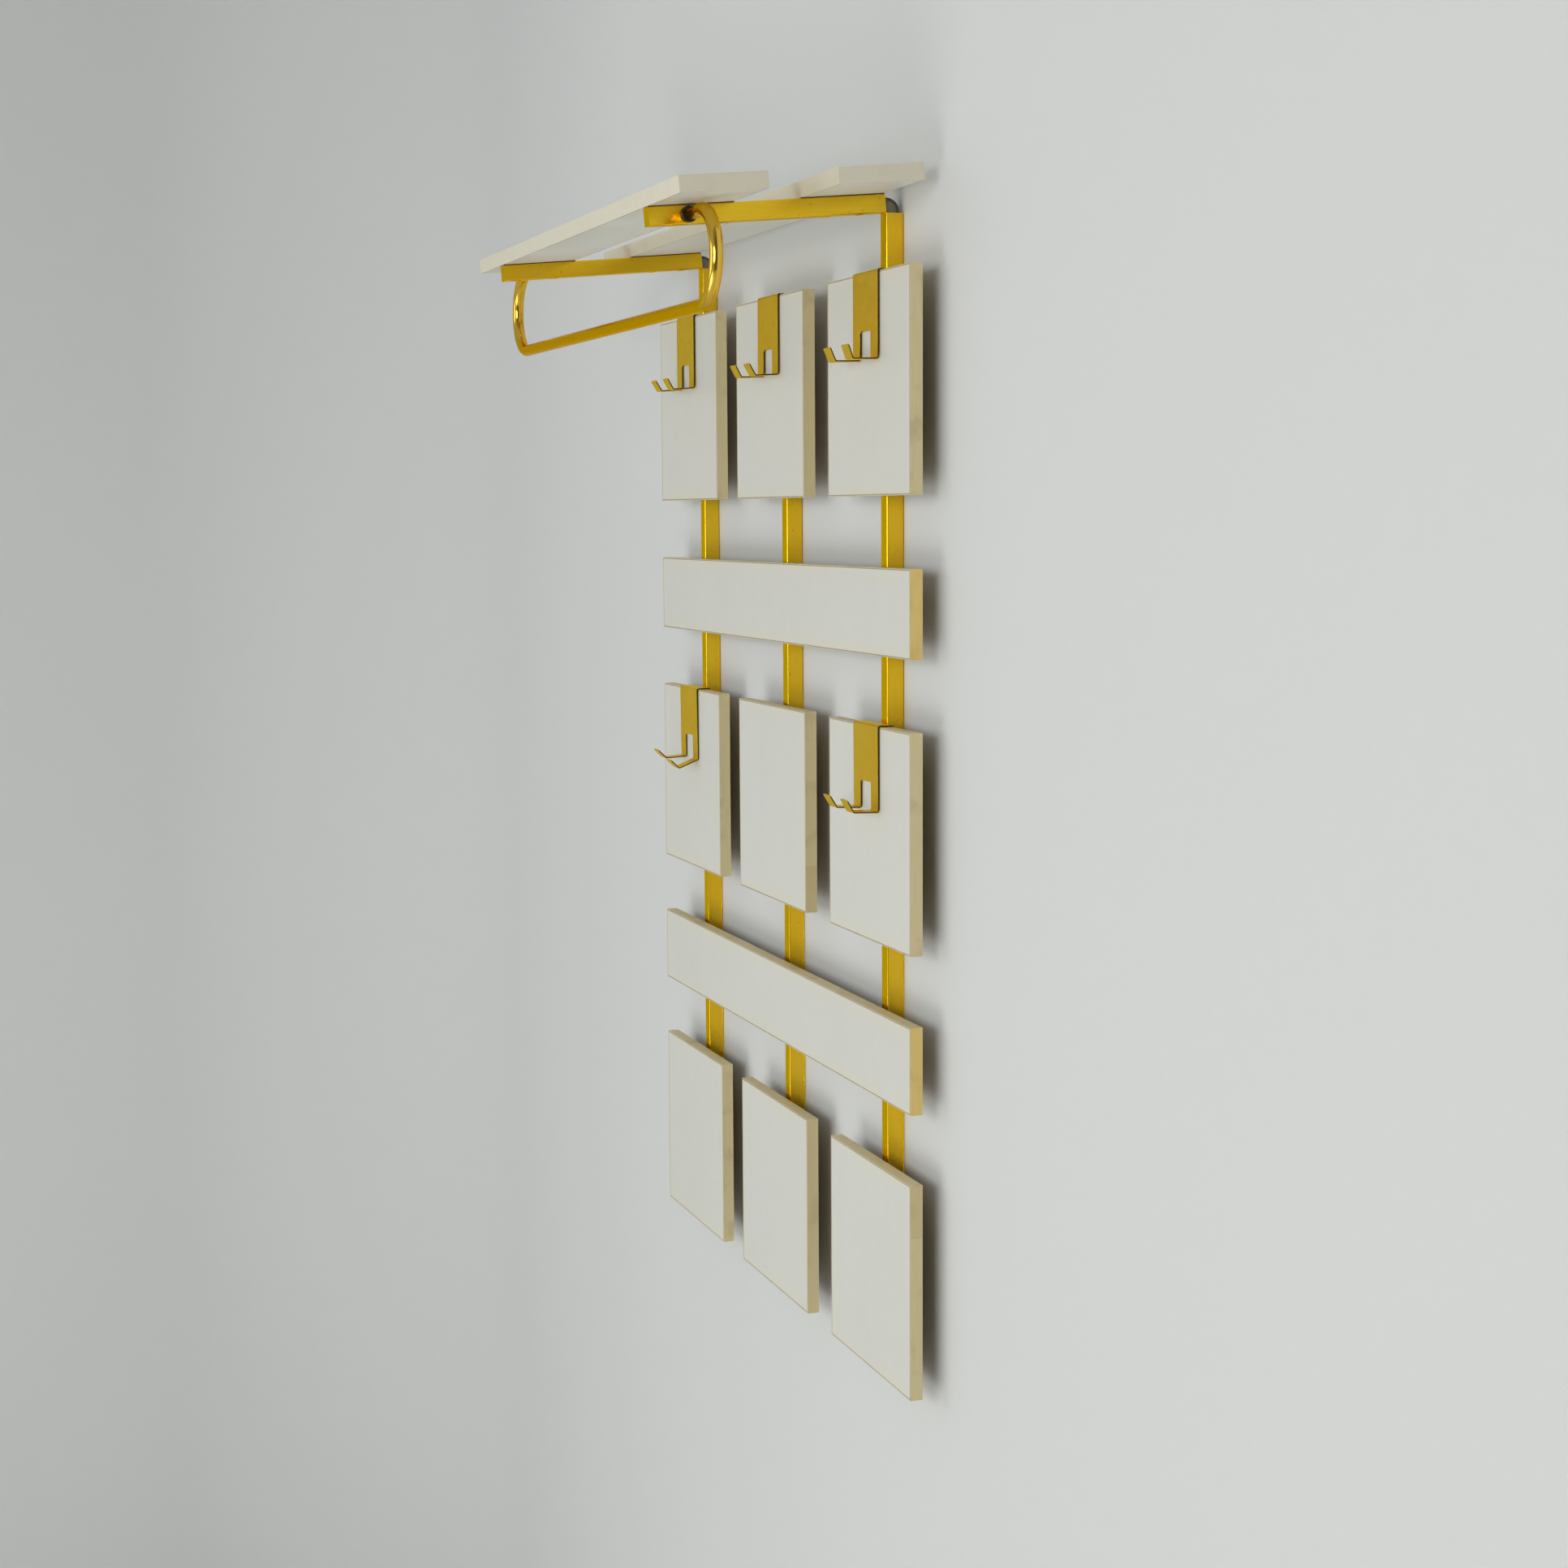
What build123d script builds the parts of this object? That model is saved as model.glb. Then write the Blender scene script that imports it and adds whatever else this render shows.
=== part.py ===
from build123d import *
import os
from math import cos, radians, sin

os.makedirs("parts", exist_ok=True)

# Wall coat rack: three rails on the wall, nine square panels, two wide boards, a hat shelf on
# two arms, a hanging bar under the shelf and five slip-on hooks.
# Frame: +X right along the wall, +Y into the wall, +Z up. The wall is the plane Y = 0 and the
# origin is the middle of the upper line of wall screws.

# ---- Panels and boards --------------------------------------------------------------------
field_width = 1100.0          # all three columns, and the length of every wide board
panel_width = 300.0
panel_height = 300.0
panel_thickness = 18.0
board_height = 120.0          # the two wide boards between the rows
row_gap = 97.0                # free height between a panel and the wide board next to it
band = 1.0                    # edge banding on every cut edge

# ---- Rails and arms -----------------------------------------------------------------------
profile_width = 22.0          # along the wall
profile_depth = 25.0          # out from the wall, and the height of an arm
profile_wall = 1.5
profile_round = 1.6           # outer corner radius
rail_rise = 80.0              # rail top above the first row of panels
rail_past_stud = 30.0         # from a rail's last stud to its hidden end
panel_standoff = 6.0          # rail front to panel back
arm_length = 335.0
arm_droop = 5.0               # degrees below level
arm_cap = 1.5                 # end plate of an arm

# ---- Wall screws --------------------------------------------------------------------------
wall_screw_hole = 5.5         # in the rail's rear wall
driver_hole = 12.0            # in the rail's front wall, hidden by the panel

# ---- Panel studs --------------------------------------------------------------------------
stud_pitch = 160.0            # between a panel's two studs
stud_collar_radius = 8.0
stud_shank_radius = 3.0
stud_shank_length = 13.0
dowel_radius = 4.0
dowel_length = 11.0
nut_sleeve_radius = 4.5
nut_sleeve_length = 11.0
nut_flange_radius = 6.6
nut_flange = 0.8
stud_fit = 0.05               # radial, in the nut, the rail and the panel
dowel_end_gap = 1.0

# ---- Corner connectors --------------------------------------------------------------------
elbow_radius = 20.0
elbow_rim = 2.2               # width of the raised rim
elbow_web = 12.0              # web thickness along the wall
plug_length = 28.0
plug_fit = 0.2                # plug to cavity, each side
end_plug_length = 12.0
end_plug_flange = 1.5

# ---- Shelf --------------------------------------------------------------------------------
shelf_board_depth = 120.0
shelf_board_thickness = 22.0
shelf_strip = 1.0             # rubber strip between arm and board
shelf_strip_width = 18.0
shelf_screw_inset = 35.0      # from each long edge of a board
shelf_screw_radius = 2.1
shelf_screw_head_radius = 4.0
shelf_screw_head = 2.6
shelf_screw_bite = 16.0       # depth in the board
shelf_driver_hole = 10.0
screw_fit = 0.1

# ---- Hanging bar --------------------------------------------------------------------------
bar_radius = 9.0
bar_wall = 1.5
bar_setback = 55.0            # pivot behind the arm's front end
bar_stub = 52.0               # straight run outward from the arm
bar_bend = 61.0               # radius of the half-round ends; the drop is twice this
flange_radius = 11.0
flange_thickness = 4.0
sleeve_radius = 5.0
sleeve_reach = 3.0            # past the arm's wall
axle_radius = 3.0
axle_reach = 7.0              # past the arm's wall
axle_fit = 0.05
bar_end_gap = 0.4             # bar end to bushing
bar_plug_length = 20.0
bar_plug_fit = 0.02

# ---- Hooks --------------------------------------------------------------------------------
hook_width = 90.0
hook_height = 120.0           # saddle top to the lowest point of the strip
hook_sheet = 2.0
hook_front_gap = 2.0
hook_rear_gap = 0.5
hook_top_gap = 0.3
hook_lip = 14.0
hook_bend = 3.0               # centre-line radius at the saddle's front and under the prongs
hook_rear_bend = 1.6          # centre-line radius behind the panel
slot_width = 38.0
slot_height = 39.0
slot_round = 3.0
prong_run = 36.0
prong_tip = 20.0
prong_corner = 2.0            # rounding of the tips' corners

# column, row, offset from the column's centre, lean, then run fall and tip rise of each prong
hooks = [
    ("left", 1, -1.0, 0.0, (4.0, 58.0), (4.0, 60.0)),
    ("middle", 1, 7.0, 0.0, (2.0, 62.0), (3.0, 60.0)),
    ("right", 1, 2.0, 0.0, (1.0, 66.0), (1.0, 70.0)),
    ("left", 2, -3.0, 0.7, (2.0, 45.0), (21.0, 44.0)),
    ("right", 2, -1.0, 0.3, (-3.0, 58.0), (-2.0, 60.0)),
]

# ---- Derived places -----------------------------------------------------------------------
columns = {
    "left": -(field_width - panel_width) / 2,
    "middle": 0.0,
    "right": (field_width - panel_width) / 2,
}
row_step = panel_height + board_height + 2 * row_gap
row_centre = {1: 0.0, 2: -row_step, 3: -2 * row_step}
board_centre = {
    "upper": -(panel_height / 2 + row_gap + board_height / 2),
    "lower": -row_step - (panel_height / 2 + row_gap + board_height / 2),
}
panel_back = -(profile_depth + panel_standoff)
panel_front = panel_back - panel_thickness
rail_top = row_centre[1] + panel_height / 2 + rail_rise
rail_bottom = row_centre[3] - stud_pitch / 2 - rail_past_stud
middle_top = row_centre[1] + stud_pitch / 2 + rail_past_stud
cavity_width = profile_width - 2 * profile_wall
cavity_depth = profile_depth - 2 * profile_wall
arm_outer = columns["right"] + profile_width / 2
shelf_free = arm_length - 2 * shelf_board_depth


def write(shape, name):
    export_step(shape, f"parts/{name}.step")


def block(x0, x1, y0, y1, z0, z1):
    middle = ((x0 + x1) / 2, (y0 + y1) / 2, (z0 + z1) / 2)
    return Pos(*middle) * Box(x1 - x0, y1 - y0, z1 - z0)


def rod_y(x, y0, y1, z, radius):
    """Cylinder along Y from y0 to y1."""
    return Pos(x, (y0 + y1) / 2, z) * Rot(90, 0, 0) * Cylinder(radius, y1 - y0)


def rod_x(x0, x1, y, z, radius):
    """Cylinder along X from x0 to x1."""
    return Pos((x0 + x1) / 2, y, z) * Rot(0, 90, 0) * Cylinder(radius, x1 - x0)


def profile_face(inset=0.0, radius=profile_round):
    """The rail's rounded outline, centred on the rail's own axis."""
    return RectangleRounded(profile_width - 2 * inset, profile_depth - 2 * inset, radius)


def hollow_profile():
    return profile_face() - profile_face(profile_wall, profile_round / 4)


def on_arm(shape):
    """Places a shape made with the inner corner at the origin and the arm along -Y."""
    return Pos(0, -profile_depth, rail_top) * Rot(arm_droop, 0, 0) * shape


def panel_studs_at(row):
    return [row_centre[row] - stud_pitch / 2, row_centre[row] + stud_pitch / 2]


stud_heights = sorted(
    panel_studs_at(1) + panel_studs_at(2) + panel_studs_at(3) + list(board_centre.values())
)

# ---- Rails --------------------------------------------------------------------------------
# Each rail is one closed profile, held by screws through its rear wall: three in an outer
# rail and two in the middle one. The driver reaches them through wider holes in the front
# wall, which the panels cover.
for column, x in columns.items():
    top = middle_top if column == "middle" else rail_top
    centre_line = Pos(x, -profile_depth / 2, rail_bottom)
    rail = centre_line * extrude(hollow_profile(), top - rail_bottom)
    screw_rows = (1, 3) if column == "middle" else (1, 2, 3)
    for z in [row_centre[row] for row in screw_rows]:
        rail -= rod_y(x, -profile_depth / 2, 1, z, wall_screw_hole / 2)
        rail -= rod_y(x, -profile_depth - 1, -profile_depth / 2, z, driver_hole / 2)
    for z in stud_heights:
        hole = nut_sleeve_radius + stud_fit
        rail -= rod_y(x, -profile_depth - 1, -profile_depth / 2, z, hole)
    write(rail, f"rail_{column}")

# ---- Plugs in the rails' hidden ends --------------------------------------------------------
end_plugs = []
for x, z, down in (
    (columns["left"], rail_bottom, -1),
    (columns["middle"], rail_bottom, -1),
    (columns["right"], rail_bottom, -1),
    (columns["middle"], middle_top, 1),
):
    flange = extrude(profile_face(), end_plug_flange * down)
    insert = extrude(profile_face(profile_wall + plug_fit, profile_round / 4), -end_plug_length * down)
    end_plugs.append(Pos(x, -profile_depth / 2, z) * (flange + insert))
write(Compound(children=end_plugs), "rail_end_plugs")

# ---- Rivet nuts and push-on studs -----------------------------------------------------------
# A flanged nut sits in the rail's front wall. The stud's shank screws into it, its collar
# sets the panel's stand-off and its ribbed dowel presses into the panel's back.
nut_face = -profile_depth - nut_flange
for column, x in columns.items():
    nuts = []
    studs = []
    for z in stud_heights:
        nut = rod_y(x, nut_face, -profile_depth, z, nut_flange_radius)
        nut += rod_y(x, -profile_depth, nut_face + nut_sleeve_length, z, nut_sleeve_radius)
        nut -= rod_y(x, nut_face, nut_face + nut_sleeve_length, z, stud_shank_radius + stud_fit)
        nuts.append(nut)
        stud = rod_y(x, panel_back, nut_face, z, stud_collar_radius)
        stud += rod_y(x, nut_face, nut_face + stud_shank_length, z, stud_shank_radius)
        stud += rod_y(x, panel_back - dowel_length, panel_back, z, dowel_radius)
        studs.append(stud)
    write(Compound(children=nuts), f"rivet_nuts_{column}")
    write(Compound(children=studs), f"panel_studs_{column}")


# ---- Small panels and wide boards -----------------------------------------------------------
def upright_slab(x, z, width, height, stud_xs, stud_zs):
    """Core of an upright board, with blind dowel holes in its back."""
    core = block(
        x - width / 2 + band, x + width / 2 - band, panel_front, panel_back,
        z - height / 2 + band, z + height / 2 - band,
    )
    for sx in stud_xs:
        for sz in stud_zs:
            reach = panel_back - dowel_length - dowel_end_gap
            core -= rod_y(sx, reach, panel_back + 1, sz, dowel_radius + stud_fit)
    return core


def long_bands(x, z, width, height):
    """Top and bottom bands, between the side bands."""
    bands = []
    for side in (-1, 1):
        edge = z + side * height / 2
        low, high = sorted((edge, edge - side * band))
        strip = block(
            x - width / 2 + band, x + width / 2 - band, panel_front, panel_back, low, high
        )
        bands.append(strip)
    return bands


def side_bands(x, z, width, height):
    """Left and right bands, over the full height."""
    bands = []
    for side in (-1, 1):
        edge = x + side * width / 2
        low, high = sorted((edge, edge - side * band))
        strip = block(low, high, panel_front, panel_back, z - height / 2, z + height / 2)
        bands.append(strip)
    return bands


for row, z in row_centre.items():
    row_bands = []
    for column, x in columns.items():
        panel = upright_slab(x, z, panel_width, panel_height, [x], panel_studs_at(row))
        write(panel, f"panel_{row}_{column}")
        row_bands += long_bands(x, z, panel_width, panel_height)
        row_bands += side_bands(x, z, panel_width, panel_height)
    write(Compound(children=row_bands), f"panel_bands_row_{row}")

board_long = []
board_ends = []
for name, z in board_centre.items():
    board = upright_slab(0.0, z, field_width, board_height, list(columns.values()), [z])
    write(board, f"board_{name}")
    board_long += long_bands(0.0, z, field_width, board_height)
    board_ends += side_bands(0.0, z, field_width, board_height)
write(Compound(children=board_long), "board_bands_long")
write(Compound(children=board_ends), "board_bands_ends")

# ---- Arms -----------------------------------------------------------------------------------
# In the arm's own frame the inner corner is the origin, the arm runs along -Y and its
# underside is the plane Z = 0.
bar_y = -(arm_length - bar_setback)
bar_z = profile_depth / 2
board_rear_edges = {"rear": 0.0, "front": -(shelf_board_depth + shelf_free)}
screw_ys = []
for rear_edge in board_rear_edges.values():
    screw_ys += [
        rear_edge - shelf_screw_inset,
        rear_edge - shelf_board_depth + shelf_screw_inset,
    ]
for side, column in ((-1, "left"), (1, "right")):
    x = columns[column]
    lying = Pos(x, 0, bar_z) * Rot(90, 0, 0)
    arm = lying * extrude(hollow_profile(), arm_length - arm_cap)
    wall_out = x + side * profile_width / 2
    low, high = sorted((wall_out - side * profile_width / 2, wall_out + side))
    arm -= rod_x(low, high, bar_y, bar_z, sleeve_radius + axle_fit)
    for y in screw_ys:
        above = Pos(x, y, profile_depth) * Cylinder(shelf_screw_radius + screw_fit, profile_depth)
        below = Pos(x, y, 0) * Cylinder(shelf_driver_hole / 2, profile_depth)
        arm -= above
        arm -= below
    write(on_arm(arm), f"arm_{column}")

arm_caps = []
for column in ("left", "right"):
    plate = Pos(columns[column], -(arm_length - arm_cap), bar_z) * Rot(90, 0, 0)
    arm_caps.append(on_arm(plate * extrude(profile_face(), arm_cap)))
write(Compound(children=arm_caps), "arm_end_caps")


# ---- Corner connectors ------------------------------------------------------------------------
def sector(radius, width):
    """Slice about the inner corner, from the rail's top round to the arm's end."""
    start = Pos(0, 0, 0) * Rot(0, 90, 0) * Cylinder(radius, width)
    reach = 2 * radius
    above_rail = block(-width, width, -reach, reach, 0, reach)
    behind_arm = Rot(arm_droop, 0, 0) * block(-width, width, 0, reach, -reach, reach)
    return start & above_rail & behind_arm


plug_outline = profile_face(profile_wall + plug_fit, profile_round / 4)
plug_width = cavity_width - 2 * plug_fit
for column in ("left", "right"):
    elbow = sector(elbow_radius, plug_width)
    for side in (-1, 1):
        recess = sector(elbow_radius - elbow_rim, plug_width - elbow_web)
        elbow -= Pos(side * plug_width / 2, 0, 0) * recess
    down = Pos(0, profile_depth / 2, 0) * extrude(plug_outline, -plug_length)
    forward = Rot(arm_droop, 0, 0) * Pos(0, 0, bar_z) * Rot(90, 0, 0)
    connector = elbow + down + forward * extrude(plug_outline, plug_length)
    write(Pos(columns[column], -profile_depth, rail_top) * connector, f"corner_connector_{column}")

# ---- Shelf boards, their bands, strips and screws -----------------------------------------------
shelf_low = profile_depth + shelf_strip
shelf_high = shelf_low + shelf_board_thickness
shelf_bands = []
shelf_strips = []
for name, rear_edge in board_rear_edges.items():
    front_edge = rear_edge - shelf_board_depth
    half = field_width / 2
    core = block(-half + band, half - band, front_edge + band, rear_edge - band, shelf_low, shelf_high)
    for x in (columns["left"], columns["right"]):
        strip = block(
            x - shelf_strip_width / 2, x + shelf_strip_width / 2, front_edge, rear_edge,
            profile_depth, shelf_low,
        )
        for y in (rear_edge - shelf_screw_inset, front_edge + shelf_screw_inset):
            pilot = 2 * (shelf_screw_bite + screw_fit)
            core -= Pos(x, y, shelf_low) * Cylinder(shelf_screw_radius + stud_fit, pilot)
            strip -= Pos(x, y, profile_depth) * Cylinder(shelf_screw_radius + screw_fit, 4 * shelf_strip)
        shelf_strips.append(on_arm(strip))
    write(on_arm(core), f"shelf_board_{name}")
    for edge, inward in ((rear_edge, -1), (front_edge, 1)):
        low, high = sorted((edge, edge + inward * band))
        shelf_bands.append(on_arm(block(-half + band, half - band, low, high, shelf_low, shelf_high)))
    for side in (-1, 1):
        low, high = sorted((side * half, side * (half - band)))
        shelf_bands.append(on_arm(block(low, high, front_edge, rear_edge, shelf_low, shelf_high)))
write(Compound(children=shelf_bands), "shelf_bands")
write(Compound(children=shelf_strips), "shelf_strips")

shelf_screws = []
head_top = profile_depth - profile_wall
for x in (columns["left"], columns["right"]):
    for y in screw_ys:
        shank = shelf_low + shelf_screw_bite - head_top
        screw = Pos(x, y, head_top + shank / 2) * Cylinder(shelf_screw_radius, shank)
        screw += Pos(x, y, head_top - shelf_screw_head / 2) * Cylinder(
            shelf_screw_head_radius, shelf_screw_head
        )
        shelf_screws.append(on_arm(screw))
write(Compound(children=shelf_screws), "shelf_screws")

# ---- Bushings in the arms ------------------------------------------------------------------------
bushings = []
for side in (-1, 1):
    outer_face = side * arm_outer
    low, high = sorted((outer_face, outer_face + side * flange_thickness))
    bushing = rod_x(low, high, bar_y, bar_z, flange_radius)
    inner_end = outer_face - side * (profile_wall + sleeve_reach)
    low, high = sorted((inner_end, outer_face))
    bushing += rod_x(low, high, bar_y, bar_z, sleeve_radius)
    low, high = sorted((inner_end, outer_face + side * flange_thickness))
    bushing -= rod_x(low, high, bar_y, bar_z, axle_radius + axle_fit)
    bushings.append(on_arm(bushing))
write(Compound(children=bushings), "bar_bushings")

# ---- Hanging bar ---------------------------------------------------------------------------------
# The bar hangs straight down from its pivot line, whatever the arms' droop.
droop = radians(arm_droop)
pivot_y = -profile_depth + bar_y * cos(droop) - bar_z * sin(droop)
pivot_z = rail_top + bar_y * sin(droop) + bar_z * cos(droop)
end_x = arm_outer + flange_thickness + bar_end_gap
bend_x = arm_outer + bar_stub
drop = 2 * bar_bend
route = Wire([
    Line((end_x, 0, 0), (bend_x, 0, 0)),
    ThreePointArc((bend_x, 0, 0), (bend_x + bar_bend, 0, -bar_bend), (bend_x, 0, -drop)),
    Line((bend_x, 0, -drop), (-bend_x, 0, -drop)),
    ThreePointArc((-bend_x, 0, -drop), (-bend_x - bar_bend, 0, -bar_bend), (-bend_x, 0, 0)),
    Line((-bend_x, 0, 0), (-end_x, 0, 0)),
])
ring = Plane(origin=(end_x, 0, 0), z_dir=(1, 0, 0)) * (Circle(bar_radius) - Circle(bar_radius - bar_wall))
write(Pos(0, pivot_y, pivot_z) * sweep(ring, path=route), "bar_tube")

bar_plugs = []
for side in (-1, 1):
    low, high = sorted((side * end_x, side * (end_x + bar_plug_length)))
    plug = rod_x(low, high, pivot_y, pivot_z, bar_radius - bar_wall - bar_plug_fit)
    axle_end = side * (arm_outer - profile_wall - axle_reach)
    low, high = sorted((axle_end, side * end_x))
    plug += rod_x(low, high, pivot_y, pivot_z, axle_radius)
    bar_plugs.append(plug)
write(Compound(children=bar_plugs), "bar_end_plugs")


# ---- Slip-on hooks ---------------------------------------------------------------------------------
def bent_strip(width, fall, rise):
    """Half of a hook: lip, saddle, strip and one prong, about the strip's front top corner."""
    half = hook_sheet / 2
    saddle = panel_thickness + hook_front_gap + hook_rear_gap + hook_sheet
    bottom = -(hook_height - hook_sheet)
    run_end = (-prong_run * cos(radians(fall)), bottom - prong_run * sin(radians(fall)))
    tip_end = (
        run_end[0] - prong_tip * cos(radians(rise)),
        run_end[1] + prong_tip * sin(radians(rise)),
    )
    points = [(saddle, -hook_lip), (saddle, 0), (0, 0), (0, bottom), run_end, tip_end]
    radii = [hook_rear_bend, hook_bend, hook_bend, hook_bend]
    spine = FilletPolyline(*[(0, y, z) for y, z in points], radius=radii)
    start = Plane(origin=spine @ 0, x_dir=(1, 0, 0), z_dir=spine % 0)
    return sweep(start * Rectangle(width, 2 * half), path=spine)


for column, row, offset, lean, left_prong, right_prong in hooks:
    half_width = hook_width / 2
    hook = Pos(-half_width / 2, 0, 0) * bent_strip(half_width, *left_prong)
    hook += Pos(half_width / 2, 0, 0) * bent_strip(half_width, *right_prong)
    slot_top = -(hook_height - hook_sheet) + slot_height
    depth = 2 * hook_height
    slot = block(
        -slot_width / 2, slot_width / 2, -depth, panel_thickness / 2, slot_top - depth, slot_top
    )
    slot = fillet(slot.edges().filter_by(Axis.Y).group_by(Axis.Z)[-1], slot_round)
    hook -= slot
    tips_start = -(prong_run + prong_tip / 4)
    tip_corners = [
        edge for edge in hook.edges()
        if edge.center().Y < tips_start and abs(edge.length - hook_sheet) < hook_sheet / 100
    ]
    hook = fillet(tip_corners, prong_corner)
    saddle_front = panel_front - hook_front_gap - hook_sheet / 2
    saddle_top = row_centre[row] + panel_height / 2 + hook_top_gap + hook_sheet / 2
    place = Pos(columns[column] + offset, saddle_front, saddle_top) * Rot(lean, 0, 0)
    write(place * hook, f"hook_{row}_{column}")
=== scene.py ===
# %% [markdown]
# # A wall coat rack with a hat shelf
#
# The rack is nine cream panels and two wide boards on three gold rails. Two arms carry a shelf
# of two boards, a gold bar swings under it, and five sheet-metal hooks slip over the panels.
# The engineering model already holds every part at its real size, so this lesson adds what
# makes it look real: the rounded edges of the hooks, the glued edge bands, the finishes, the
# light.
#
# The first cell loads that model. Its parts never move and keep their meshes; where a part
# deserves a finer shape, a new piece takes its place.

# %% Load the engineering model
import random
from math import cos, pi, radians, sin

import bmesh
import bpy
from mathutils import Matrix, Vector


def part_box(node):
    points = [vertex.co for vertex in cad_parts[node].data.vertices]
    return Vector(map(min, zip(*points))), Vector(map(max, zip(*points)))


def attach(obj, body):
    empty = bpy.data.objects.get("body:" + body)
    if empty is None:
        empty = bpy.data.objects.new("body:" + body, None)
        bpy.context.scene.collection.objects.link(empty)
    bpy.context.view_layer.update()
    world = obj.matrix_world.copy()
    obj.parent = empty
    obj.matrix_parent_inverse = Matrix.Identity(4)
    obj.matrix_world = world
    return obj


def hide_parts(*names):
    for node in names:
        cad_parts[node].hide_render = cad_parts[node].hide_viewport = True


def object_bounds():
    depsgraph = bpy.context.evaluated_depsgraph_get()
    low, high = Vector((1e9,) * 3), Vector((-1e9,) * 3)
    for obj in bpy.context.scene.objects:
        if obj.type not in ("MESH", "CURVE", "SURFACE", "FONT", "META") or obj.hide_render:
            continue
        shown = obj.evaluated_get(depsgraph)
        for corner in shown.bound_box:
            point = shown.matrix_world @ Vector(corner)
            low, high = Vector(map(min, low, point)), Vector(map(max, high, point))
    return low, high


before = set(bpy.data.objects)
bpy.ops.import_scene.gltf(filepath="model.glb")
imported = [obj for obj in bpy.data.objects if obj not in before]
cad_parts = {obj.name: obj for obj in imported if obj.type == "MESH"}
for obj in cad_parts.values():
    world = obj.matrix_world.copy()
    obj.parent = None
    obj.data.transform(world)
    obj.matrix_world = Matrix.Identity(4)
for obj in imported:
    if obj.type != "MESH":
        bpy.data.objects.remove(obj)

cad_low, cad_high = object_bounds()
print("size in metres:", [round(side, 4) for side in cad_high - cad_low])

# %% [markdown]
# ## The camera
#
# The rack is seen from its right and from a little lower than its shelf, so that the underside
# of the shelf shows, and the camera looks down by a few degrees. A turn about Z points it along
# the wall, a second turn tips it down, and a very small third one leans it as a hand-held camera
# leans. Three turns multiplied in that order are easier to read than one set of angles.

# %% Camera
camera_place = Vector((3.575, -1.321, -0.174))
camera_turn = radians(70.12)
camera_dip = radians(6.2)
camera_lean = radians(-0.34)
camera_data = bpy.data.cameras.new("camera")
camera_data.sensor_width = 36
camera_data.lens = 57.04
camera = bpy.data.objects.new("camera", camera_data)
aim = Matrix.Rotation(camera_turn, 4, "Z") @ Matrix.Rotation(pi / 2 - camera_dip, 4, "X")
camera.matrix_world = Matrix.Translation(camera_place) @ aim @ Matrix.Rotation(camera_lean, 4, "Z")
bpy.context.scene.collection.objects.link(camera)
bpy.context.scene.camera = camera
bpy.context.scene.view_settings.view_transform = "Standard"
print("camera distance:", round(camera_place.length, 2), "m")

# %% [markdown]
# ## Shader maths as plain sums
#
# A finish is a small sum: a colour, plus some grain, minus some dirt. Drawing that sum as nodes
# by hand hides it, so a socket is wrapped in a class that understands +, - and *. Each
# operator adds one Math node, and the reflected forms make `1 - mask` work too. Everything that
# isn't plain arithmetic, such as a noise or a colour mix, goes through the one method `node`.

# %% Signals and trees
class Signal:
    """One output of a node, usable in sums."""

    def __init__(self, tree, socket):
        self.tree = tree
        self.socket = socket

    def math(self, operation, *others):
        return self.tree.sum_of(operation, self, *others)

    def __add__(self, other):
        return self.math("ADD", other)

    def __sub__(self, other):
        return self.math("SUBTRACT", other)

    def __rsub__(self, other):
        return self.tree.sum_of("SUBTRACT", other, self)

    def __mul__(self, other):
        return self.math("MULTIPLY", other)

    __radd__ = __add__
    __rmul__ = __mul__

    def twin(self, output):
        """Another output of the same node."""
        return Signal(self.tree, self.socket.node.outputs[output])


class Tree:
    """A node tree that is filled one node at a time."""

    def __init__(self, nodes_and_links):
        self.nodes = nodes_and_links.nodes
        self.links = nodes_and_links.links

    def plug(self, socket, value):
        if isinstance(value, Signal):
            self.links.new(value.socket, socket)
        elif socket.type == "RGBA" and len(value) == 3:
            socket.default_value = (*value, 1)
        else:
            socket.default_value = value

    def node(self, kind, settings=None, sockets=None, output=0):
        """Adds a node: its settings first, then the values and links of its sockets."""
        made = self.nodes.new(kind)
        for key, value in (settings or {}).items():
            setattr(made, key, value)
        for key, value in (sockets or {}).items():
            self.plug(made.inputs[key], value)
        return Signal(self, made.outputs[output]) if made.outputs else None

    def sum_of(self, operation, *values):
        return self.node("ShaderNodeMath", {"operation": operation}, dict(enumerate(values)))


print("signal operators ready")

# %% [markdown]
# ## Building blocks of a finish
#
# Every finish below uses the same few tools: a noise for unevenness, a soft step that turns a
# distance into a mask, and a mix of two colours. They all read Object coordinates, which are
# metres in the rack's own frame, so grain keeps its real size on a long board and a small plug
# alike. Stretching the coordinates first turns round specks into lines, as drawing a metal
# profile through a die or rolling a sheet does.

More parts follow.
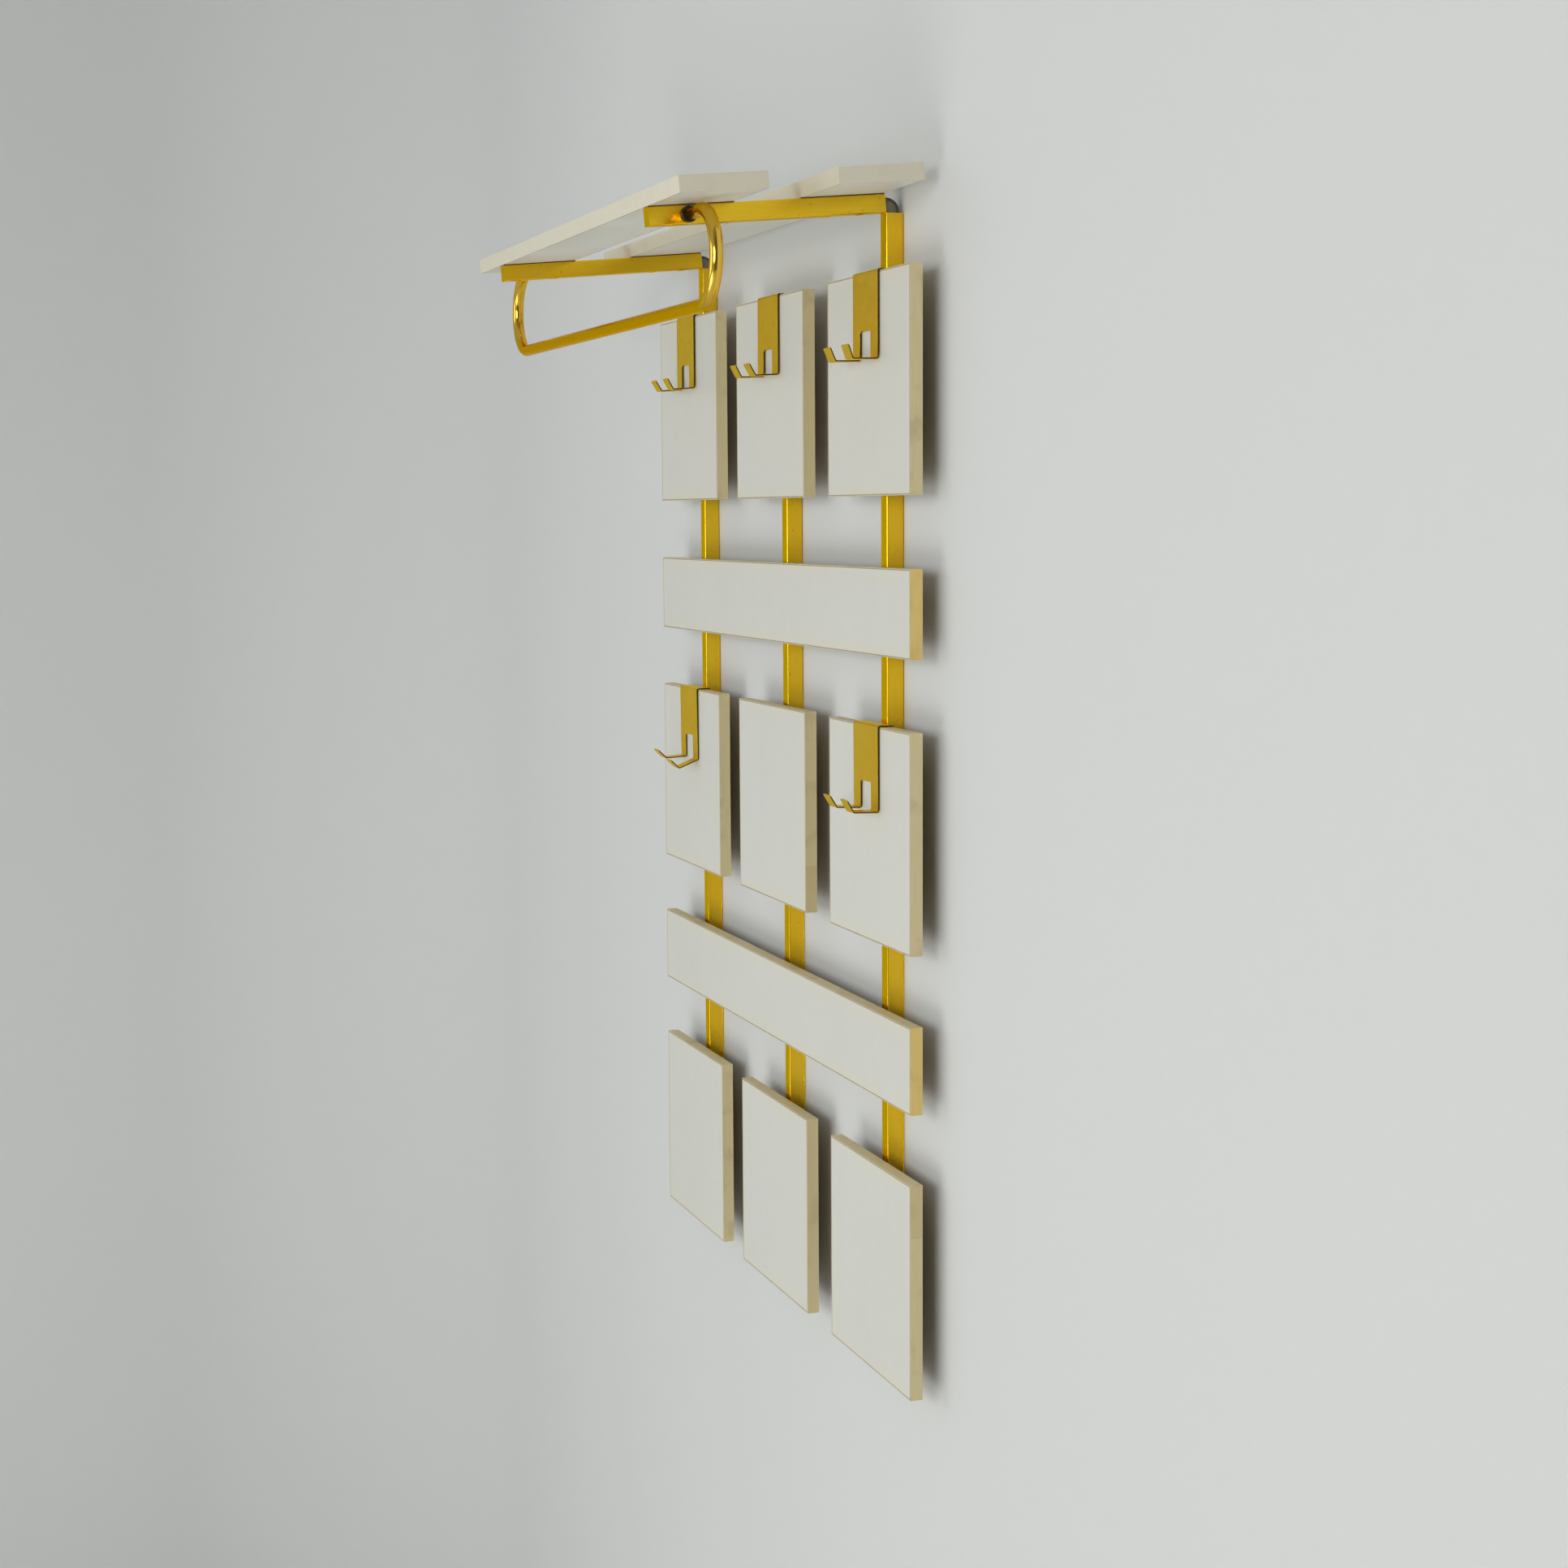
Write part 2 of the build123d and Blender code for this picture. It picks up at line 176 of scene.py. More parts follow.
# %% Tools for finishes
class Finish(Tree):
    """A material under construction around one Principled shader."""

    def __init__(self, name):
        self.material = bpy.data.materials.new(name)
        self.material.use_nodes = True
        super().__init__(self.material.node_tree)
        self.shader = self.nodes["Principled BSDF"]
        self.place = self.node("ShaderNodeTexCoord", output="Object")

    def noise(self, scale, stretch=(1, 1, 1), detail=3.0):
        """Noise from 0 to 1, `scale` lumps to the metre, each axis multiplied by `stretch`."""
        laid = self.node("ShaderNodeMapping", None, {"Vector": self.place, "Scale": stretch})
        return self.node("ShaderNodeTexNoise", None, {
            "Vector": laid, "Scale": scale, "Detail": detail,
        })

    def step(self, value, start, end):
        """Soft step: 0 below start, 1 above end, and the other way round if start is larger."""
        return self.node("ShaderNodeMapRange", {"interpolation_type": "SMOOTHSTEP"}, {
            0: value, 1: start, 2: end,
        })

    def mix(self, share, first, second):
        """Colour mix: share 0 gives the first colour and 1 the second."""
        sockets = {0: share, 6: first, 7: second}
        return self.node("ShaderNodeMix", {"data_type": "RGBA"}, sockets, output=2)

    def attribute(self, name):
        return self.node("ShaderNodeAttribute", {"attribute_name": name}, output="Fac")

    def relief(self, height, depth):
        """Bump of a height from 0 to 1, whose full height is `depth` metres."""
        bump = self.node("ShaderNodeBump", None, {"Height": height, "Distance": depth})
        self.plug(self.shader.inputs["Normal"], bump)

    def set(self, **values):
        """Sets the shader's own sockets: Base_Color stands for Base Color."""
        for key, value in values.items():
            self.plug(self.shader.inputs[key.replace("_", " ")], value)
        return self.material


print("finish tools ready")

# %% [markdown]
# ## Gold profiles
#
# Rails and arms are drawn aluminium profiles with a warm gold finish, clear and glossy. What the
# eye catches on such a profile is its long, faint drawing lines, a slightly cloudy colour and a
# few dull spots where hands and dusters have been. The lines run along the profile, so a rail
# and an arm need the same finish with its grain turned. A metal turns white when it is seen at a
# glancing angle, but a gold-coloured skin stays gold, which Specular Tint takes care of.

# %% Gold profile finish
gold_glance = (0.98, 0.84, 0.22, 1.0)


def gold_profile(name, along):
    """Drawn, gold-coloured profile; `along` is the stretch of its drawing lines."""
    finish = Finish(name)
    lines = finish.noise(700, along, detail=4)
    cloud = finish.noise(14, detail=2)
    spots = finish.step(finish.noise(160, detail=3), 0.66, 0.74)
    warm = finish.mix(cloud, (0.96, 0.590, 0.020), (1.00, 0.670, 0.045))
    lined = finish.mix(0.30 * finish.step(lines, 0.35, 0.7), warm, (0.84, 0.490, 0.018))
    colour = finish.mix(0.35 * spots, lined, (0.46, 0.300, 0.060))
    finish.relief(lines, 0.00002)
    return finish.set(
        Base_Color=colour,
        Metallic=1.0,
        Specular_Tint=gold_glance,
        Roughness=0.13 + 0.10 * cloud + 0.05 * lines + 0.15 * spots,
    )


gold_rail = gold_profile("gold_rail", (1, 1, 0.012))
gold_arm = gold_profile("gold_arm", (1, 0.012, 1))
print("profile finishes:", gold_rail.name, gold_arm.name)

# %% [markdown]
# ## Polished gold bar
#
# The hanging bar is bent tube, polished after bending. It mirrors the room almost sharply, and
# its straight run carries fine lengthwise scratches. Small round specks of lost lacquer break
# the mirror.

# %% Gold bar finish
finish = Finish("gold_tube")
scratches = finish.step(finish.noise(900, (0.08, 1, 1), detail=4), 0.58, 0.72)
cloud = finish.noise(20, detail=2)
specks = finish.step(finish.noise(420, detail=2), 0.70, 0.76)
polished = finish.mix(cloud, (0.86, 0.540, 0.060), (0.95, 0.630, 0.100))
colour = finish.mix(0.4 * specks, polished, (0.45, 0.300, 0.080))
finish.relief(finish.noise(900, (0.08, 1, 1), detail=4), 0.00001)
gold_tube = finish.set(
    Base_Color=colour,
    Metallic=1.0,
    Specular_Tint=(0.96, 0.70, 0.24, 1.0),
    Roughness=0.09 + 0.06 * cloud + 0.16 * scratches + 0.12 * specks,
)
print("bar finish:", gold_tube.name)

# %% [markdown]
# ## Satin gold hooks
#
# A hook is one strip of rolled sheet, cut, slotted and bent, then given a satin gold finish. Its
# faces are duller than the tube and carry fine upright rolling lines. Its sheared sides are
# painted almost black, as painted shade for the narrow dark gap beside each hook, so the mesh
# marks them with an attribute named `sheared`.

# %% Gold hook finish
finish = Finish("gold_sheet")
rolled = finish.noise(1100, (1, 0.04, 0.04), detail=4)
cloud = finish.noise(30, detail=3)
smudge = finish.step(finish.noise(60, detail=4), 0.52, 0.70)
face = finish.mix(cloud, (0.88, 0.570, 0.060), (0.97, 0.670, 0.100))
worn = finish.mix(0.25 * smudge, face, (0.74, 0.490, 0.080))
sheared = finish.attribute("sheared")
# Painted shade: the sheared sides get a near-black colour that stands in for the gap's shadow.
colour = finish.mix(0.93 * sheared, worn, (0.050, 0.028, 0.010))
finish.relief(rolled, 0.00002)
gold_sheet = finish.set(
    Base_Color=colour,
    Metallic=1.0,
    Specular_Tint=(0.98, 0.89, 0.40, 1.0),
    Roughness=0.28 + 0.10 * cloud + 0.12 * smudge + 0.15 * sheared,
)
print("hook finish:", gold_sheet.name)

# %% [markdown]
# ## Cream boards
#
# Panels, wide boards and shelf boards are chipboard under a smooth cream laminate. Age shows in
# three ways: large soft patches where the cream has yellowed, a warmer margin along the edges,
# and a thin dark line of old glue where the edge band meets the face. The margin needs the
# distance to the nearest edge, and since the boards repeat at a fixed pitch, one wrap of the
# coordinate gives it for a whole row. So the first cell measures the pitches on the engineering
# model. The shelf has sunk a little and lies in a turned frame, whose centre is the inner corner
# where an arm meets its rail; its finish turns the coordinates back before it measures.

# %% Pitches and distances
rail_box = {side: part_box(f"rail_{side}") for side in ("left", "right")}
inner_corner = Vector((0, rail_box["left"][0].y, rail_box["left"][1].z))
panel_low, panel_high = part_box("panel_1_middle")
second_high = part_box("panel_2_middle")[1]
upper_low, upper_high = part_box("board_upper")
shelf_low, shelf_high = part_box("shelf_board_front")
column_pitch = (rail_box["right"][0].x - rail_box["left"][0].x) / 2
row_pitch = panel_high.z - second_high.z
board_level = (upper_low.z + upper_high.z) / 2
margin_width = 0.022
glue_line = (0.0018, 0.0008)
laminate = 0.0002


def edge_distance(coordinate, first, pitch, half):
    """Distance to the edge of boards of half width `half`, centred at first, first + pitch..."""
    off_centre = (coordinate - first).math("WRAP", pitch / 2, -pitch / 2).math("ABSOLUTE")
    return half - off_centre


def half_size(low, high):
    return (high - low) / 2


print("column pitch", round(column_pitch, 3), "row pitch", round(row_pitch, 3))

# %% [markdown]
# ## The laminate and the bare back
#
# The finish builds the cream up in thin layers, each with a small share: patches, mottle and
# upright streaks first, then the yellowed margin, the dirt and the glue line. The margin fades
# out 22 mm from the edge, and the glue line within 1.8 mm. The backs, which face the wall, have
# no laminate. There a Voronoi pattern makes the chips of the board.

# %% Cream board finish
def cream_board(name, across, up, turn=0.0, back=None):
    """Cream laminate; across and up each give (first centre, pitch, half size).

    A board with a `back`, the depth of its rear face, is bare chipboard from there on.
    """
    finish = Finish(name)
    level = finish.node("ShaderNodeVectorRotate", {"rotation_type": "X_AXIS"}, {
        "Vector": finish.place, "Angle": -turn, "Center": inner_corner,
    })
    x = finish.node("ShaderNodeSeparateXYZ", None, {0: level})
    second_axis = x.twin(1) if turn else x.twin(2)
    from_side = edge_distance(x, *across)
    from_end = edge_distance(second_axis, *up)
    edge = from_side.math("MINIMUM", from_end)
    patches = finish.noise(5, detail=3)
    mottle = finish.noise(90, detail=4)
    streaks = finish.noise(35, (1, 1, 0.10), detail=3)
    dirt = finish.step(finish.noise(300, detail=4), 0.68, 0.76)
    cream = finish.mix(patches, (0.715, 0.715, 0.650), (0.750, 0.755, 0.710))
    cream = finish.mix(0.30 * mottle, cream, (0.68, 0.670, 0.597))
    cream = finish.mix(0.22 * finish.step(streaks, 0.45, 0.75), cream, (0.69, 0.685, 0.617))
    margin = finish.step(edge, margin_width, 0.0) * (0.25 + 0.5 * mottle)
    cream = finish.mix(margin, cream, (0.76, 0.720, 0.580))
    cream = finish.mix(0.30 * dirt, cream, (0.50, 0.450, 0.340))
    glue = finish.step(edge, *glue_line) * (0.45 + 0.5 * finish.noise(120, detail=2))
    colour = finish.mix(glue, cream, (0.20, 0.165, 0.110))
    roughness = 0.36 + 0.12 * mottle + 0.2 * glue
    skin = finish.noise(650, detail=3)
    if back is not None:
        bare = finish.step(x.twin(1), back - 2 * laminate, back - laminate)
        chips = finish.node("ShaderNodeTexVoronoi", None, {
            "Vector": finish.place, "Scale": 260.0, "Randomness": 1.0,
        })
        shade = finish.step(chips, 0.1, 0.75)
        chipboard = finish.mix(shade, (0.56, 0.430, 0.260), (0.34, 0.240, 0.130))
        colour = finish.mix(bare, colour, chipboard)
        roughness = roughness + 0.4 * bare
    finish.relief(0.8 * skin + 0.2 * streaks, 0.00006)
    return finish.set(Base_Color=colour, Roughness=roughness, Specular_IOR_Level=0.45)


print("cream finish ready")

# %% [markdown]
# ## One finish for each pitch
#
# Panels repeat in both directions. A wide board spans the whole rack, so its pitch along X is
# simply longer than the board and the wrap changes nothing.

# %% Panels and wide boards
no_repeat = 10.0
panel_finish = cream_board(
    "cream_panel",
    (0, column_pitch, half_size(panel_low.x, panel_high.x)),
    (0, row_pitch, half_size(panel_low.z, panel_high.z)),
    back=panel_high.y,
)
wide_finish = cream_board(
    "cream_wide_board",
    (0, no_repeat, half_size(upper_low.x, upper_high.x)),
    (board_level, row_pitch, half_size(upper_low.z, upper_high.z)),
    back=upper_high.y,
)
print("board finishes:", panel_finish.name, wide_finish.name)

# %% [markdown]
# ## The shelf's slope
#
# The shelf has sunk by five degrees, so its boards lie in a turned frame round the inner corner.
# One matrix holds that frame, and the finish, the edge bands and the hole caps all use it or its
# angle, so they stay on the same plane.

# %% Shelf frame
band = 0.001
shelf_thickness = 0.022
shelf_depth = 0.120
arm_droop = radians(5.0)
arm_height = rail_box["left"][1].y - rail_box["left"][0].y
shelf_frame = Matrix.Translation(inner_corner) @ Matrix.Rotation(arm_droop, 4, "X")
shelf_pitch = 0.215
rear_edges = (0.0, -shelf_pitch)
board_bottom = arm_height + band
shelf_finish = cream_board(
    "cream_shelf_board",
    (0, no_repeat, half_size(shelf_low.x, shelf_high.x)),
    (inner_corner.y - shelf_depth / 2, shelf_pitch, shelf_depth / 2 - band),
    turn=arm_droop,
)
drop_front = shelf_frame @ Vector((0, -shelf_pitch, 0))
print("front board starts", round(inner_corner.z - drop_front.z, 4), "m below the rear one")

# %% [markdown]
# ## Edge bands
#
# The cut edges are covered with glued strips. They have yellowed far more than the faces: beige
# round the panels, tan on the wide boards' ends, cream along the shelf. A strip shows fine
# lines along its length, grubby patches where coats rub, and a tone of its own, because strips
# come from different rolls. That tone arrives from the mesh as an attribute, and so does
# `upright`, which tells the finish the direction of the lines.

# %% Edge band finish
def edge_band(name, pale, deep, stained=0.45):
    """Glued strip between a pale and a deep tone; `stained` is how strongly the dirt shows."""
    finish = Finish(name)
    tone = finish.attribute("tone")
    fibres_up = finish.noise(520, (1, 1, 0.03), detail=4)
    fibres_across = finish.noise(520, (0.03, 1, 1), detail=4)
    upright = finish.attribute("upright")
    fibres = upright * fibres_up + (1 - upright) * fibres_across
    stain = finish.noise(24, detail=4)
    base = finish.mix(tone, pale, deep)
    base = finish.mix(0.35 * finish.step(fibres, 0.42, 0.72), base, deep)
    grime = tuple(0.72 * part for part in deep)
    base = finish.mix(stained * finish.step(stain, 0.5, 0.75), base, grime)
    finish.relief(fibres, 0.00005)
    return finish.set(
        Base_Color=base,
        Roughness=0.42 + 0.18 * stain,
        Specular_IOR_Level=0.4,
    )


beige_band = edge_band("beige_strip", (0.78, 0.680, 0.395), (0.67, 0.550, 0.290))
tan_band = edge_band("tan_strip", (0.90, 0.680, 0.245), (0.78, 0.545, 0.155))
cream_band = edge_band("cream_strip", (0.79, 0.755, 0.610), (0.74, 0.685, 0.520), stained=0.12)
print("band finishes:", beige_band.name, tan_band.name, cream_band.name)

# %% [markdown]
# ## Plastic, rubber and plated steel
#
# The small parts matter up close. The corner connectors are grey moulded plastic; a band along
# their outer edge, which a distance from the inner corner finds, is painted near-black as
# painted shade on the rim. Bushings and end plugs are black nylon, the strips under the shelf
# boards are dull rubber coloured near-black as painted shade for the gap between board and arm,
# and studs, nuts and screws are zinc-plated steel with the faint blotches that zinc has.

# %% Small part finishes
def moulded(name, colour, dark, rough):
    """Fine-grained moulded plastic with a little dust."""
    finish = Finish(name)
    grain = finish.noise(1500, detail=2)
    dust = finish.step(finish.noise(120, detail=4), 0.45, 0.8)
    finish.relief(grain, 0.00004)
    base = finish.mix(0.5 * grain, colour, dark)
    return finish, finish.mix(0.35 * dust, base, (0.42, 0.400, 0.360)), rough + 0.15 * dust


finish, dusty, roughness = moulded("grey_elbow", (0.255, 0.225, 0.180), (0.190, 0.165, 0.130), 0.42)
spot = finish.node("ShaderNodeSeparateXYZ", None, {0: finish.place})
# Painted shade: a near-black band at the outer radius stands in for shade on the connector's rim.
rim_start, rim_end = 0.0172, 0.0180
out = (spot.twin(1) - inner_corner.y).math("POWER", 2.0)
over = (spot.twin(2) - inner_corner.z).math("POWER", 2.0)
rim = finish.step((out + over).math("SQRT"), rim_start, rim_end)
rim_shaded = finish.mix(0.8 * rim, dusty, (0.055, 0.048, 0.038))
grey_elbow = finish.set(Base_Color=rim_shaded, Roughness=roughness)

soot, deep_soot = (0.020, 0.018, 0.016), (0.012, 0.011, 0.010)
finish, dusty, roughness = moulded("black_nylon", soot, deep_soot, 0.36)
black_nylon = finish.set(Base_Color=dusty, Roughness=roughness)
# Painted shade: the strips are near-black and stand in for the shadow gap between boards and arms.
finish, dusty, roughness = moulded("gap_shade_rubber", (0.055, 0.040, 0.022), (0.030, 0.022, 0.014), 0.62)
gap_shade_rubber = finish.set(Base_Color=dusty, Roughness=roughness)

finish = Finish("zinc_plate")
blotch = finish.node("ShaderNodeTexVoronoi", None, {"Vector": finish.place, "Scale": 380.0})
turned = finish.noise(1400, detail=3)
finish.relief(turned, 0.00002)
zinc = finish.set(
    Base_Color=finish.mix(blotch, (0.66, 0.67, 0.68), (0.50, 0.50, 0.49)),
    Metallic=1.0,
    Roughness=0.28 + 0.15 * blotch + 0.08 * turned,
)
print("small finishes:", grey_elbow.name, black_nylon.name, gap_shade_rubber.name, zinc.name)

# %% [markdown]
# ## Dressing the engineering parts
#
# Most parts keep their own shape and only need a finish. One table of name beginnings is
# enough, because parts of a kind share a beginning, and the first beginning that fits wins.

# %% Finishes for the engineering parts
finishes = {
    "rail_end_plugs": black_nylon,
    "rail_": gold_rail,
    "arm_": gold_arm,
    "corner_connector": grey_elbow,
    "bar_bushings": black_nylon,
    "bar_end_plugs": zinc,
    "panel_studs": zinc,
    "panel_bands": beige_band,
    "panel_": panel_finish,
    "rivet_nuts": zinc,
    "board_bands": tan_band,
    "board_": wide_finish,
    "shelf_board": shelf_finish,
    "shelf_bands": cream_band,
    "shelf_strips": gap_shade_rubber,
    "shelf_screws": zinc,
    "bar_tube": gold_tube,
    "hook_": gold_sheet,
}
for name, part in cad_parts.items():
    start = next(beginning for beginning in finishes if name.startswith(beginning))
    part.data.materials.clear()
    part.data.materials.append(finishes[start])
print("dressed", len(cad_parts), "parts")

# %% [markdown]
# ## Geometry Nodes from a script
#
# Strips, caps and the tube follow rules, and Geometry Nodes state a rule once: a few named
# inputs go in and a mesh comes out. This helper makes a tree with those inputs, and `grow` runs
# it on an object, keeps the plain mesh that comes out and throws the modifier away.

# %% Geometry tree tools
class Recipe(Tree):
    """A Geometry Nodes tree with named inputs, whose result gets its material at the end."""

    def __init__(self, name, **inputs):
        self.group = bpy.data.node_groups.new(name, "GeometryNodeTree")
        kinds = {float: "NodeSocketFloat", int: "NodeSocketInt"}
        interface = self.group.interface
        interface.new_socket("Geometry", in_out="INPUT", socket_type="NodeSocketGeometry")
        self.identifiers = {}
        for key, kind in {**inputs, "Material": None}.items():
            socket_type = kinds.get(kind, "NodeSocketMaterial")
            socket = interface.new_socket(key, in_out="INPUT", socket_type=socket_type)
            self.identifiers[key] = socket.identifier
        interface.new_socket("Geometry", in_out="OUTPUT", socket_type="NodeSocketGeometry")
        super().__init__(self.group)
        self.start = self.node("NodeGroupInput")

    def input(self, key):
        return self.start.twin(key)

    def named(self, key, data_type="FLOAT"):
        kind = "GeometryNodeInputNamedAttribute"
        return self.node(kind, {"data_type": data_type}, {"Name": key})

    def finish(self, geometry, smooth=False):
        whole = self.node("GeometryNodeRealizeInstances", None, {0: geometry})
        shaded = self.node("GeometryNodeSetShadeSmooth", None, {0: whole, 2: smooth})
        coated = self.node("GeometryNodeSetMaterial", None, {
            0: shaded, "Material": self.input("Material"),
        })
        self.node("NodeGroupOutput", None, {0: coated})


def grow(name, source, recipe, **values):
    """Runs a recipe on a mesh or curve and returns the plain object that it makes."""
    seed = bpy.data.objects.new(name + "_seed", source)
    bpy.context.scene.collection.objects.link(seed)
    modifier = seed.modifiers.new("recipe", "NODES")
    modifier.node_group = recipe.group
    for key, value in values.items():
        modifier[recipe.identifiers[key]] = value
    bpy.context.view_layer.update()
    graph = bpy.context.evaluated_depsgraph_get()
    mesh = bpy.data.meshes.new_from_object(seed.evaluated_get(graph), depsgraph=graph)
    bpy.data.objects.remove(seed)
    mesh.name = name
    piece = bpy.data.objects.new(name, mesh)
    bpy.context.scene.collection.objects.link(piece)
    return piece


print("geometry tools ready")

# %% [markdown]
# ## Edge band strips
#
# Each board edge carries one strip, a millimetre thick and as wide as the board. A strip could
# be modelled box by box, but all of them obey one rule: a thin rounded section pulled along a
# straight line. So the mesh that goes in is only one point for each strip, carrying its length,
# turn and tone, and the tree places a one-metre strip on every point and scales it to length.
# Rounded long edges, a quarter of a millimetre each, give the bright line a real strip has.

# %% Strip recipe
strip_recipe = Recipe("edge_strip", Width=float, Thickness=float, Rounding=float)
outline = strip_recipe.node("GeometryNodeCurvePrimitiveQuadrilateral", None, {
    "Width": strip_recipe.input("Width"), "Height": strip_recipe.input("Thickness"),
})
rounded = strip_recipe.node("GeometryNodeFilletCurve", {"mode": "POLY"}, {
    0: outline, "Count": 3, "Radius": strip_recipe.input("Rounding"),
})
metre = strip_recipe.node("GeometryNodeCurvePrimitiveLine", None, {
    "Start": (-0.5, 0, 0), "End": (0.5, 0, 0),
})
strip = strip_recipe.node("GeometryNodeCurveToMesh", None, {
    "Curve": metre, "Profile Curve": rounded, "Fill Caps": True,
})
length = strip_recipe.node("ShaderNodeCombineXYZ", None, {
    0: strip_recipe.named("length"), 1: 1.0, 2: 1.0,
})
placed = strip_recipe.node("GeometryNodeInstanceOnPoints", None, {
    "Points": strip_recipe.input("Geometry"), "Instance": strip,
    "Rotation": strip_recipe.named("turn", "FLOAT_VECTOR"), "Scale": length,
})
strip_recipe.finish(placed)
print("strip recipe inputs:", list(strip_recipe.identifiers))

# %% [markdown]
# ## Where the strips go
#
# The top and bottom strips stop between the side strips, as on the real boards. Two side strips
# were pieced together from offcuts, which shows as a hair-wide joint and a change of tone, so
# a strip may be cut at a share of its height. The tones come from a seeded random generator,
# and a strip cut from another roll is simply darker.

# %% Lay the strips
rolls = random.Random(7)
usual_tones = (0.1, 0.6)
darker_roll = 0.35
joint = 0.00025
rounding = 0.00028


def strip_points(strips):
    """Mesh of one point for each (place, turn, length, tone)."""
    mesh = bpy.data.meshes.new("strip_points")
    mesh.from_pydata([place for place, *_ in strips], [], [])
    for index, name in enumerate(("turn", "length", "tone", "upright"), start=1):
        kind = "FLOAT_VECTOR" if name == "turn" else "FLOAT"
        values = mesh.attributes.new(name, kind, "POINT").data
        for value, strip_values in zip(values, strips):
            if name == "turn":
                value.vector = strip_values[index]
            else:
                value.value = strip_values[index]
    return mesh


def level_strips(centre, width, height, frame_turn=0.0, away=(0, 0, 1)):
    """Two strips along X, on the edges that lie `away` from a board's centre."""
    strips = []
    for side in (-1, 1):
        place = Vector(centre) + side * (height - band) / 2 * Vector(away)
        tilt = (frame_turn, 0, 0)
        strips.append((place, tilt, width - 2 * band, rolls.uniform(*usual_tones), 0.0))
    return strips


def side_strips(centre, width, height, cut=None, frame_turn=0.0, along=(0, 0, 1)):
    """Two strips on the left and right edges; the right one may be cut at a share from the top."""
    strips = []
    on_edge = (Matrix.Rotation(frame_turn, 3, "X") @ Matrix.Rotation(pi / 2, 3, "Y")).to_euler()
    for side in (-1, 1):
        spans = [(0.0, 1.0)] if cut is None or side < 0 else [(0.0, cut), (cut, 1.0)]
        for top, bottom in spans:
            middle = height * (0.5 - (top + bottom) / 2)
            beside = Vector((side * (width - band) / 2, 0, 0))
            place = Vector(centre) + beside + middle * Vector(along)
            length = height * (bottom - top) - joint * (len(spans) - 1)
            tone = rolls.uniform(*usual_tones) + (darker_roll if bottom - top < 0.5 else 0.0)
            strips.append((place, on_edge, length, tone, 1.0))
    return strips


def lay(name, strips, material, node, width):
    """Makes one piece of strips that stands for a CAD node of edge bands."""
    piece = grow(
        name, strip_points(strips), strip_recipe,
        Width=width, Thickness=band, Rounding=rounding, Material=material,
    )
    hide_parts(node)
    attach(piece, "frame")
    print(name, len(strips), "strips", len(piece.data.polygons), "faces")


panel_size = (panel_high.x - panel_low.x + 2 * band, panel_high.z - panel_low.z + 2 * band)
panel_thickness = panel_high.y - panel_low.y
panel_middle = (panel_low.y + panel_high.y) / 2
cuts = {("middle", 2): 0.77, ("right", 3): 0.24}
for row in (1, 2, 3):
    strips = []
    for number, column in enumerate(("left", "middle", "right")):
        centre = ((number - 1) * column_pitch, panel_middle, -(row - 1) * row_pitch)
        strips += level_strips(centre, *panel_size)
        strips += side_strips(centre, *panel_size, cut=cuts.get((column, row)))
    node = f"panel_bands_row_{row}"
    lay(f"panel_strips_row_{row}", strips, beige_band, node, panel_thickness)

# %% [markdown]
# ## Strips of the wide boards and the shelf
#
# The wide boards have beige strips above and below and tan ones on their ends, so they are two
# pieces with two finishes. The shelf boards lie on the sloping arms: their strips use the same
# recipe, turned with the slope, and stand on edge round a board that lies flat.

# %% Lay the long strips
wide_size = (upper_high.x - upper_low.x + 2 * band, upper_high.z - upper_low.z + 2 * band)
long_strips, end_strips = [], []
for level in (board_level, board_level - row_pitch):
    centre = (0, panel_middle, level)
    long_strips += level_strips(centre, *wide_size)
    end_strips += side_strips(centre, *wide_size)
lay("wide_board_long_strips", long_strips, beige_band,
    "board_bands_long", panel_thickness)
lay("wide_board_end_strips", end_strips, tan_band,
    "board_bands_ends", panel_thickness)

shelf_strips = []
slope_turn = arm_droop - pi / 2
slope_out = shelf_frame.to_3x3() @ Vector((0, -1, 0))
for rear_edge in rear_edges:
    middle = Vector((0, rear_edge - shelf_depth / 2, board_bottom + shelf_thickness / 2))
    centre = shelf_frame @ middle
    shelf_strips += level_strips(centre, wide_size[0], shelf_depth, slope_turn, slope_out)
    shelf_strips += side_strips(centre, wide_size[0], shelf_depth, None, slope_turn, slope_out)
lay("shelf_board_strips", shelf_strips, cream_band, "shelf_bands", shelf_thickness)

# %% [markdown]
# ## The hanging bar
#
# The bar is one tube that leaves each arm sideways, turns back in a half circle and runs
# straight across below the shelf. Its centre line is the whole design: two straight stubs, two
# half circles and one long run. The curve holds that line, the tree pulls a round section
# along it, and a Solidify gives the tube its real wall, so its open ends show a rim.

# %% Bar tube
bar_low, bar_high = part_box("bar_tube")
bar_radius = (bar_high.y - bar_low.y) / 2
bar_wall = 0.0015
bar_bend = (bar_high.z - bar_low.z) / 2 - bar_radius
pivot = Vector((0, (bar_low.y + bar_high.y) / 2, bar_high.z - bar_radius))
bend_x = bar_high.x - bar_radius - bar_bend
past_bushing = 0.0004
end_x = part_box("bar_bushings")[1].x + past_bushing
bend_steps = 32
tube_sides = 48
line = [Vector((end_x, 0, 0))]
for step in range(bend_steps + 1):
    angle = pi / 2 - pi * step / bend_steps
    line.append(Vector((bend_x + bar_bend * cos(angle), 0, bar_bend * (sin(angle) - 1))))
line += [Vector((-point.x, 0, point.z)) for point in reversed(line)]
route = bpy.data.curves.new("bar_line", "CURVE")
route.dimensions = "3D"
spline = route.splines.new("POLY")
spline.points.add(len(line) - 1)
for point, place in zip(spline.points, line):
    point.co = (*(place + pivot), 1)

